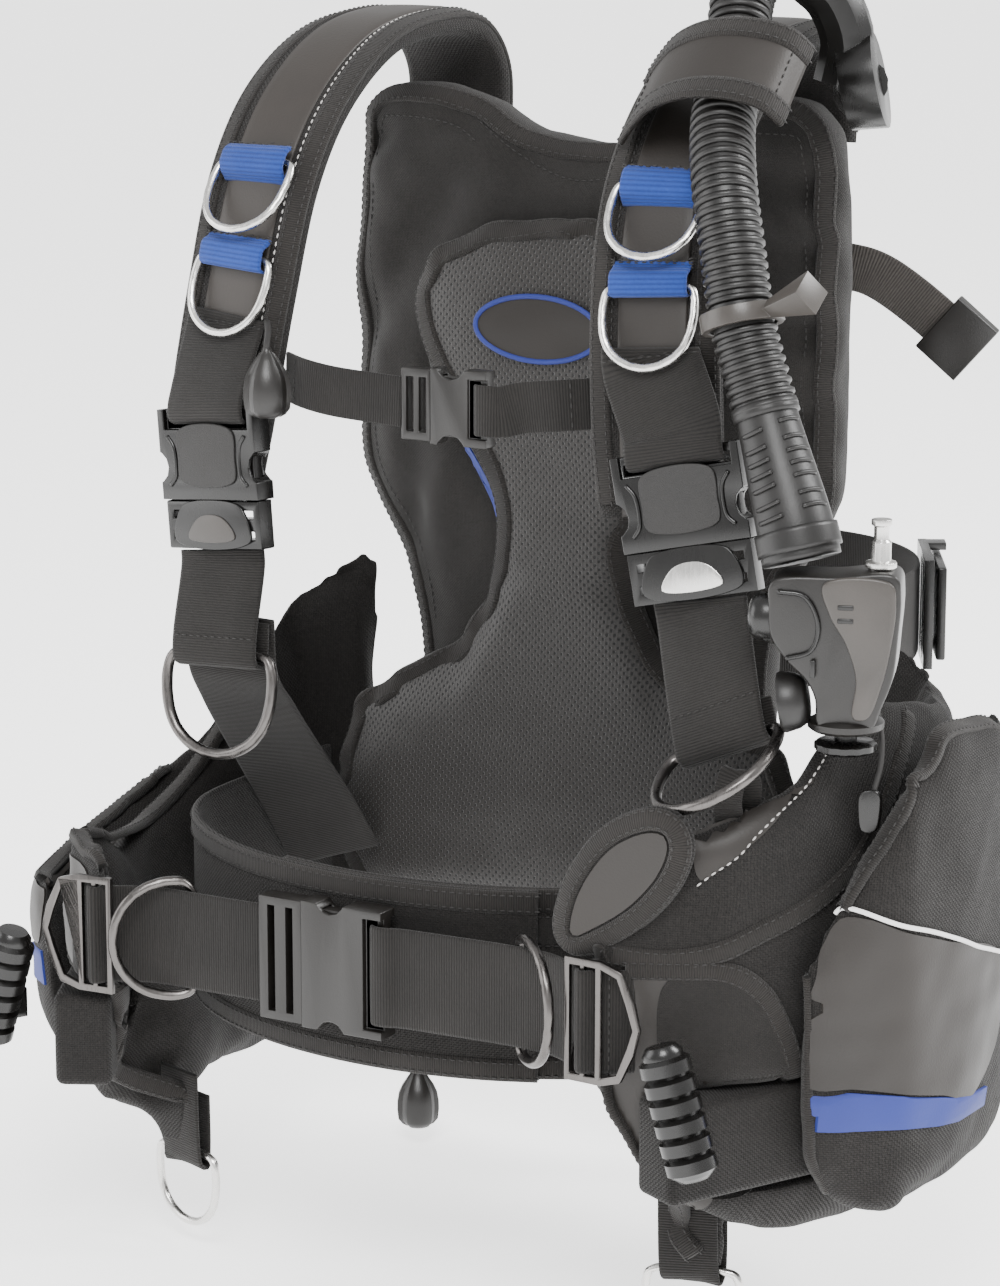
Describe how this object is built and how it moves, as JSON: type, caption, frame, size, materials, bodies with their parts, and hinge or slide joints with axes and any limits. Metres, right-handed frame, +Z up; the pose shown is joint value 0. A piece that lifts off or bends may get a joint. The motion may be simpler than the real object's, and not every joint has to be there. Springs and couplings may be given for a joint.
{
  "type": "buoyancy compensator vest",
  "caption": "Jacket style diving buoyancy vest with padded back, side air cells, shoulder and waist straps, cylinder band, corrugated hose and inflator.",
  "frame": {"origin": "on the backpack plate's flat land that the cylinder bears on, at the middle of its width and near the middle of its height", "axes": "+Z up along the diver's spine, the diver faces -Y, +X towards the diver's left"},
  "size_m": [0.502, 0.5296, 0.6543],
  "materials": {
    "shell_fabric": "coarse woven nylon",
    "smooth_panel": "smooth coated fabric, satin",
    "spacer_mesh": "knitted spacer mesh",
    "webbing_black": "ribbed polyester webbing",
    "webbing_blue": "ribbed blue webbing",
    "webbing_grey": "grey webbing",
    "plastic_black": "moulded, slight sheen",
    "plastic_satin": "moulded, satin",
    "rubber_black": "matt rubber",
    "steel_ring": "satin steel",
    "steel_dark": "dark satin steel"
  },
  "bodies": {
    "vest": {"back_bladder": "shell_fabric", "wing_bladder_left": "shell_fabric", "wing_bladder_right": "shell_fabric", "cargo_pocket_left": "shell_fabric", "cargo_pocket_right": "shell_fabric", "shoulder_strap_left": "shell_fabric", "shoulder_strap_right": "shell_fabric", "cummerbund_left": "shell_fabric", "cummerbund_right": "shell_fabric", "hose_flap": "smooth_panel", "back_pad": "spacer_mesh", "anchor_webbing": "webbing_black", "waist_webbing_left": "webbing_black", "sternum_webbing_left": "webbing_black", "tank_band": "webbing_black", "ring_webbing_left": "webbing_blue", "ring_webbing_right": "webbing_blue", "tank_strap": "webbing_grey", "backpack_plate": "plastic_black", "tank_cam_buckle": "plastic_black", "tank_strap_slider": "plastic_black", "shoulder_buckle_female_left": "plastic_black", "shoulder_buckle_female_right": "plastic_black", "sternum_buckle_female": "plastic_black", "shoulder_valve": "plastic_black", "waist_buckle_female": "plastic_satin", "inflator_body": "plastic_satin", "corrugated_hose": "rubber_black", "mouthpiece": "rubber_black", "quick_connect_nipple": "steel_ring", "waist_slider_left": "steel_dark", "waist_slider_right": "steel_dark"},
    "shoulder_ring_upper_left": {"shoulder_ring_upper_left": "steel_ring"},
    "shoulder_ring_lower_left": {"shoulder_ring_lower_left": "steel_ring"},
    "shoulder_ring_upper_right": {"shoulder_ring_upper_right": "steel_ring"},
    "shoulder_ring_lower_right": {"shoulder_ring_lower_right": "steel_ring"},
    "lower_ring_left": {"lower_ring_left": "steel_dark"},
    "lower_ring_right": {"lower_ring_right": "steel_dark"},
    "tail_ring_left": {"tail_ring_left": "steel_ring"},
    "tail_ring_right": {"tail_ring_right": "steel_ring"},
    "waist_ring_left": {"waist_ring_left": "steel_dark"},
    "waist_ring_right": {"waist_ring_right": "steel_dark"},
    "shoulder_buckle_male_left": {"shoulder_buckle_male_left": "plastic_black", "lower_webbing_left": "webbing_black"},
    "shoulder_buckle_male_right": {"shoulder_buckle_male_right": "plastic_black", "lower_webbing_right": "webbing_black"},
    "waist_buckle_male": {"waist_buckle_male": "plastic_satin", "waist_webbing_right": "webbing_black"},
    "sternum_buckle_male": {"sternum_buckle_male": "plastic_black", "sternum_webbing_right": "webbing_black"},
    "weight_pouch_left": {"weight_pouch_left": "shell_fabric", "weight_handle_left": "rubber_black"},
    "weight_pouch_right": {"weight_pouch_right": "shell_fabric", "weight_handle_right": "rubber_black"},
    "tank_cam_lever": {"tank_cam_lever": "plastic_black"},
    "dump_knob_shoulder": {"dump_knob_shoulder": "plastic_black"},
    "dump_knob_rear": {"dump_knob_rear": "plastic_black"},
    "inflate_button": {"inflate_button": "plastic_black"},
    "deflate_button": {"deflate_button": "plastic_black"},
    "hose_clip": {"hose_clip": "plastic_satin"}
  },
  "joints": [
    {"name": "shoulder_ring_upper_left_swing", "type": "hinge", "parent": "vest", "child": "shoulder_ring_upper_left", "pos_m": [0.11039, -0.1873, 0.22895], "axis": [-0.9975, -0.0698, 0.0065], "range_deg": [0, 32]},
    {"name": "shoulder_ring_lower_left_swing", "type": "hinge", "parent": "vest", "child": "shoulder_ring_lower_left", "pos_m": [0.11315, -0.20325, 0.18431], "axis": [-0.9926, -0.111, -0.0489], "range_deg": [0, 95]},
    {"name": "shoulder_ring_upper_right_swing", "type": "hinge", "parent": "vest", "child": "shoulder_ring_upper_right", "pos_m": [-0.11039, -0.1873, 0.22895], "axis": [-0.9975, 0.0698, -0.0065], "range_deg": [0, 95]},
    {"name": "shoulder_ring_lower_right_swing", "type": "hinge", "parent": "vest", "child": "shoulder_ring_lower_right", "pos_m": [-0.11315, -0.20325, 0.18431], "axis": [-0.9926, 0.111, 0.0489], "range_deg": [0, 95]},
    {"name": "lower_ring_left_swing", "type": "hinge", "parent": "vest", "child": "lower_ring_left", "pos_m": [0.175, -0.244, -0.013], "axis": [-0.9245, 0, -0.3813], "range_deg": [0, 60]},
    {"name": "lower_ring_right_swing", "type": "hinge", "parent": "vest", "child": "lower_ring_right", "pos_m": [-0.106, -0.233, -0.006], "axis": [-0.9989, 0, -0.0462], "range_deg": [0, 100]},
    {"name": "tail_ring_left_swing", "type": "hinge", "parent": "vest", "child": "tail_ring_left", "pos_m": [0.16, -0.242, -0.268], "axis": [-0.9578, -0.2873, 0], "range_deg": [0, 95]},
    {"name": "tail_ring_right_swing", "type": "hinge", "parent": "vest", "child": "tail_ring_right", "pos_m": [-0.134, -0.228, -0.266], "axis": [-0.9578, 0.2873, 0], "range_deg": [0, 95]},
    {"name": "waist_ring_left_swing", "type": "hinge", "parent": "vest", "child": "waist_ring_left", "pos_m": [0.09, -0.2826, -0.134], "axis": [0, 0, -1], "range_deg": [0, 95]},
    {"name": "waist_ring_right_swing", "type": "hinge", "parent": "vest", "child": "waist_ring_right", "pos_m": [-0.09, -0.2826, -0.134], "axis": [0, 0, 1], "range_deg": [0, 95]},
    {"name": "shoulder_buckle_male_left_release", "type": "slide", "parent": "vest", "child": "shoulder_buckle_male_left", "axis": [0.214, -0.0595, -0.975], "range_m": [0, 0.028], "deforming": ["lower_webbing_left"]},
    {"name": "shoulder_buckle_male_right_release", "type": "slide", "parent": "vest", "child": "shoulder_buckle_male_right", "axis": [0.097, -0.0364, -0.9946], "range_m": [0, 0.028], "deforming": ["lower_webbing_right"]},
    {"name": "waist_buckle_male_release", "type": "slide", "parent": "vest", "child": "waist_buckle_male", "axis": [-1, 0, 0], "range_m": [0, 0.028], "deforming": ["waist_webbing_right"]},
    {"name": "sternum_buckle_male_release", "type": "slide", "parent": "vest", "child": "sternum_buckle_male", "axis": [-1, 0, 0], "range_m": [0, 0.02], "deforming": ["sternum_webbing_right"]},
    {"name": "weight_pouch_left_pull", "type": "slide", "parent": "vest", "child": "weight_pouch_left", "axis": [-0.454, -0.891, 0], "range_m": [0, 0.1]},
    {"name": "weight_pouch_right_pull", "type": "slide", "parent": "vest", "child": "weight_pouch_right", "axis": [0.454, -0.891, 0], "range_m": [0, 0.1]},
    {"name": "tank_cam_lever_open", "type": "hinge", "parent": "vest", "child": "tank_cam_lever", "pos_m": [0.0908, 0.17746, -0.03], "axis": [0, 0, 1], "range_deg": [0, 140]},
    {"name": "dump_knob_shoulder_pull", "type": "slide", "parent": "vest", "child": "dump_knob_shoulder", "axis": [0, 0, -1], "range_m": [0, 0.01], "stiffness_N_per_m": 250, "springref_m": -0.004},
    {"name": "dump_knob_rear_pull", "type": "slide", "parent": "vest", "child": "dump_knob_rear", "axis": [0, 0, -1], "range_m": [0, 0.015], "stiffness_N_per_m": 250, "springref_m": -0.004},
    {"name": "inflate_button_press", "type": "slide", "parent": "vest", "child": "inflate_button", "axis": [0.9394, 0.3429, 0], "range_m": [0, 0.003], "stiffness_N_per_m": 900, "springref_m": -0.001},
    {"name": "deflate_button_press", "type": "slide", "parent": "vest", "child": "deflate_button", "axis": [0, 0, 1], "range_m": [0, 0.003], "stiffness_N_per_m": 900, "springref_m": -0.001},
    {"name": "hose_clip_turn", "type": "hinge", "parent": "vest", "child": "hose_clip", "pos_m": [0.16708, -0.21846, 0.17477], "axis": [0.3032, -0.1869, -0.9344], "range_deg": [-12, 12]}
  ]
}
